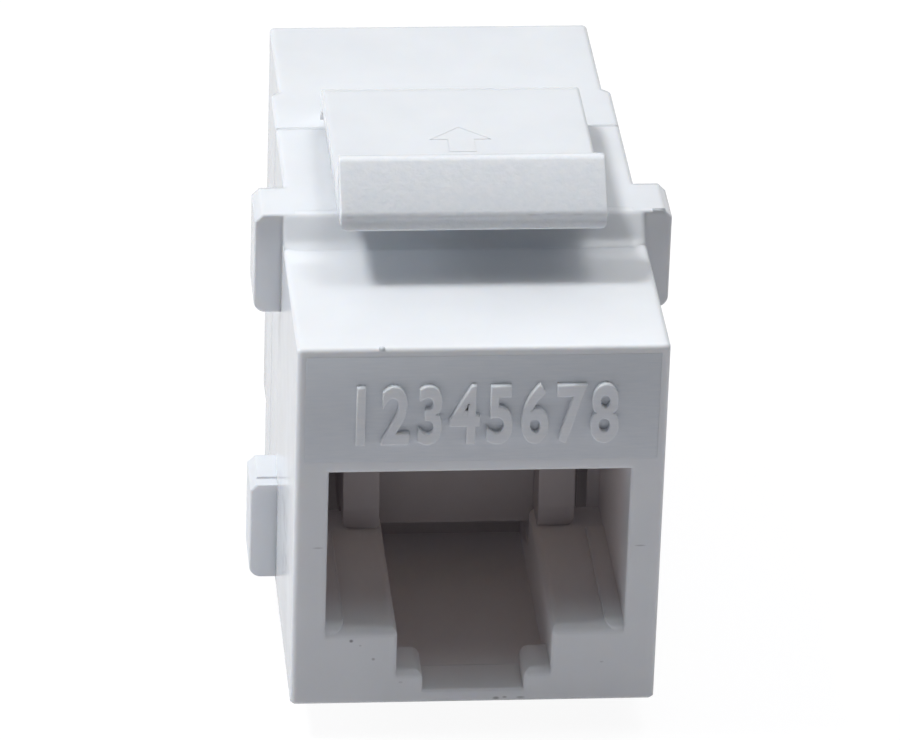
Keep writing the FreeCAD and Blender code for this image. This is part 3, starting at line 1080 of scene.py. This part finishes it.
@dataclass(frozen=True)
class EasedStep:
    """The eased step behind the port block, from its foot over its crest. Sizes in mm."""

    half_width: float = 7.37
    foot: SidePlace = (9.0, 8.1)
    head: SidePlace = (9.79, 9.2035)
    crest: tuple[SidePlace, ...] = ((9.98, 9.2035), (10.6, 9.19))
    inside: tuple[SidePlace, ...] = ((10.6, 9.0), (9.5, 8.0))
    radius: float = 0.8
    sink: float = 0.006
    run_in: float = 0.4
    steps: int = 10
    end_run: float = 0.5
    end_drop: float = 0.06

    def outline(self) -> list[SidePlace]:
        """The side view: the hollow arc at the foot, the slope, the crest, then back inside the housing.

        Returns:
            The corners in order.
        """
        slope = math.atan2(self.head[1] - self.foot[1], self.head[0] - self.foot[0])
        start = self.foot[0] - self.radius * math.tan(slope / 2)
        middle = self.foot[1] + self.radius - self.sink
        front = start - self.run_in
        corners = [(front, self.foot[1] - self.sink)]
        for number in range(self.steps + 1):
            angle = slope * number / self.steps
            depth = start + self.radius * math.sin(angle)
            height = middle - self.radius * math.cos(angle)
            corners.append((depth, height))
        return [*corners, self.head, *self.crest, *self.inside, (front, self.inside[-1][1])]

    def build(self, finishes: Finishes) -> bpy.types.Object:
        """Make the piece, riding on the coupler, with its upper side drawn down at both ends.

        Args:
            finishes: The object's materials.

        Returns:
            The piece.
        """
        shape = bmesh.new()
        corners = [millimetres(-self.half_width, depth, height) for depth, height in self.outline()]
        shape.faces.new([shape.verts.new(corner) for corner in corners])
        draw_out(shape, millimetres(2 * self.half_width, 0, 0))
        for side in (-1.0, 1.0):
            cut(shape, millimetres(side * (self.half_width - self.end_run), 0, 0), WIDTH_AXIS)
        for vert in shape.verts:
            at_end = abs(vert.co.x) > (self.half_width - self.end_run / 2) * MM
            upper = vert.co.z > (self.foot[1] - self.end_drop) * MM
            if at_end and upper:
                vert.co.z -= self.end_drop * MM
        bmesh.ops.recalc_face_normals(shape, faces=shape.faces[:])
        shade_by_angle(shape, MOULDED_CREASE)
        piece = make_object(shape, "eased_step")
        piece.data.materials.append(finishes.eased)
        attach(piece, Body.COUPLER.value)
        return piece


@dataclass(frozen=True)
class MouldTraces:
    """Small traces of the moulding: beds in the seam, a nub, flash and fine lines. Sizes in mm.

    The nub is on the front's top edge, the flash on the right ear, and the lines are on the front socket's
    floor and strips.
    """

    seam: tuple[Box, ...] = (
        ((-7.06, 17.83, 8.80), (7.06, 17.93, 9.203)),
        ((-7.19, 17.855, -8.00), (-6.80, 17.905, 9.06)),
        ((6.80, 17.855, -8.00), (7.19, 17.905, 9.06)),
        ((-4.99, 17.83, 8.32), (4.99, 18.05, 9.175)),
        ((-5.02, 17.93, 8.32), (-4.96, 19.35, 9.19)),
        ((4.96, 17.93, 8.32), (5.02, 19.35, 9.19)),
    )
    nub: Box = ((-4.18, -0.05, 8.00), (-3.94, 0.19, 8.16))
    nub_rounding: float = 0.07
    flash: Box = ((7.70, 9.74, 9.19), (8.24, 9.95, 9.23))
    floor_line: Box = ((-2.02, 1.92, -7.50), (2.02, 1.97, -7.455))
    strip_line: Box = ((5.26, 0.55, -4.55), (5.34, 7.85, -4.395))
    rounding: float = 0.018

    def boxes(self, finishes: Finishes) -> dict[str, tuple[Box, bpy.types.Material]]:
        """Every trace by its piece's name.

        Args:
            finishes: The object's materials.

        Returns:
            Each trace's box and finish.
        """
        low, high = self.strip_line
        mirrored = ((-high[0], *low[1:]), (-low[0], *high[1:]))
        traces = {
            "gate_nub": (self.nub, finishes.shell),
            "ear_flash": (self.flash, finishes.shell),
            "floor_line": (self.floor_line, finishes.socket),
            "right_strip_line": (self.strip_line, finishes.socket),
            "left_strip_line": (mirrored, finishes.socket),
        }
        for number, bed in enumerate(self.seam, start=1):
            traces[f"seam_bed_{number}"] = (bed, finishes.seam)
        return traces

    def build(self, finishes: Finishes) -> list[bpy.types.Object]:
        """Make every trace, riding on the coupler.

        Args:
            finishes: The object's materials.

        Returns:
            The pieces.
        """
        pieces = []
        for name, (box, finish) in self.boxes(finishes).items():
            rounding = self.nub_rounding if box == self.nub else self.rounding
            piece = make_object(soft_box(box, rounding), name)
            piece.data.materials.append(finish)
            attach(piece, Body.COUPLER.value)
            pieces.append(piece)
        return pieces


# Stage

@dataclass(frozen=True)
class Lamp:
    """A soft square lamp aimed at a point. Sizes in mm, power in watts."""

    name: str
    place: Point
    side: float
    power: float
    colour: Colour = (1.0, 1.0, 1.0)
    aim: Point = (0.0, 10.0, 0.0)

    def build(self) -> bpy.types.Object:
        """Make the lamp and point it.

        Returns:
            The lamp.
        """
        light = bpy.data.lights.new(self.name, "AREA")
        light.shape = "SQUARE"
        light.size = self.side * MM
        light.energy = self.power
        light.color = self.colour
        lamp = bpy.data.objects.new(self.name, light)
        lamp.location = millimetres(*self.place)
        direction = millimetres(*self.aim) - lamp.location
        lamp.rotation_euler = direction.to_track_quat("-Z", "Y").to_euler()
        bpy.context.scene.collection.objects.link(lamp)
        return lamp


@dataclass(frozen=True)
class Stage:
    """Floor, surroundings, lamps and camera. Sizes in mm, angles in degrees."""

    floor_size: float = 3000.0
    ambient: Colour = (0.90, 0.95, 1.0)
    ambient_strength: float = 0.055
    camera_place: Point = (-23.506, -222.739, 124.511)
    camera_yaw: float = 5.68
    camera_pitch: float = 27.67
    camera_roll: float = -1.87
    camera_near: float = 10.0
    focal_pixels: float = 6408.6
    lamps: tuple[Lamp, ...] = (
        Lamp("key", (-400.0, 60.0, 750.0), 140.0, 3.8),
        Lamp("right_key", (200.0, 70.0, 820.0), 240.0, 1.2),
        Lamp("overhead", (60.0, 480.0, 1350.0), 2400.0, 17.2),
        Lamp("left_fill", (-1200.0, 340.0, 260.0), 900.0, 6.6, (0.92, 0.96, 1.0)),
    )

    def floor(self) -> bpy.types.Object:
        """A plain floor at the object's lowest point.

        Returns:
            The floor.
        """
        shape = bmesh.new()
        low = cad_box[0][2]
        bmesh.ops.create_grid(
            shape, x_segments=1, y_segments=1, size=self.floor_size * MM / 2,
            matrix=Matrix.Translation((0.0, 0.0, low)),
        )
        piece = make_object(shape, "floor")
        piece.data.materials.append(PaleFloor().material())
        return piece

    def surroundings(self) -> None:
        """An even pale light from all round, which the camera sees as white."""
        world = bpy.data.worlds.new("surroundings")
        world.use_nodes = True
        bpy.context.scene.world = world
        tree = world.node_tree
        tree.nodes.clear()
        path = tree.nodes.new("ShaderNodeLightPath")
        white = tree.nodes.new("ShaderNodeBackground")
        white.inputs["Color"].default_value = (1.0, 1.0, 1.0, 1.0)
        white.inputs["Strength"].default_value = 1.0
        even = tree.nodes.new("ShaderNodeBackground")
        even.inputs["Color"].default_value = (*self.ambient, 1.0)
        even.inputs["Strength"].default_value = self.ambient_strength
        mixed = tree.nodes.new("ShaderNodeMixShader")
        last = tree.nodes.new("ShaderNodeOutputWorld")
        tree.links.new(path.outputs["Is Camera Ray"], mixed.inputs[0])
        tree.links.new(even.outputs[0], mixed.inputs[1])
        tree.links.new(white.outputs[0], mixed.inputs[2])
        tree.links.new(mixed.outputs[0], last.inputs["Surface"])

    def camera(self) -> bpy.types.Object:
        """The camera at the photograph's place, turn and tilt.

        Returns:
            The camera, set as the scene's own.
        """
        yaw = math.radians(self.camera_yaw)
        pitch = math.radians(self.camera_pitch)
        roll = math.radians(self.camera_roll)
        forward = Vector(
            (math.sin(yaw) * math.cos(pitch), math.cos(yaw) * math.cos(pitch), -math.sin(pitch))
        )
        level = Vector((math.cos(yaw), -math.sin(yaw), 0.0))
        down = forward.cross(level)
        right = math.cos(roll) * level + math.sin(roll) * down
        up = math.sin(roll) * level - math.cos(roll) * down
        data = bpy.data.cameras.new("camera")
        data.sensor_fit = "HORIZONTAL"
        data.sensor_width = SENSOR_WIDTH
        data.lens = self.focal_pixels / PHOTO_WIDTH * SENSOR_WIDTH
        data.clip_start = self.camera_near * MM
        data.dof.use_dof = False
        camera = bpy.data.objects.new("camera", data)
        turn = Matrix((right, up, -forward)).transposed().to_4x4()
        camera.matrix_world = Matrix.Translation(millimetres(*self.camera_place)) @ turn
        bpy.context.scene.collection.objects.link(camera)
        bpy.context.scene.camera = camera
        return camera

    def build(self) -> None:
        """Set the whole stage."""
        self.floor()
        self.surroundings()
        for lamp in self.lamps:
            lamp.build()
        self.camera()
        bpy.context.scene.view_settings.view_transform = "Standard"


def main() -> None:
    """Build the stage and every piece in order."""
    Stage().build()
    finishes = Finishes.make()
    pieces = Shells().build(finishes)
    pieces += Works().build(finishes)
    tongue = LatchTongue()
    pieces += [tongue.build(finishes), tongue.arrow(finishes)]
    pieces += FrontLegend().build(finishes)
    pieces.append(EasedStep().build(finishes))
    pieces += MouldTraces().build(finishes)
    for piece in pieces:
        log.info("%s: %d faces", piece.name, len(piece.data.polygons))


if __name__ == "__main__":
    main()
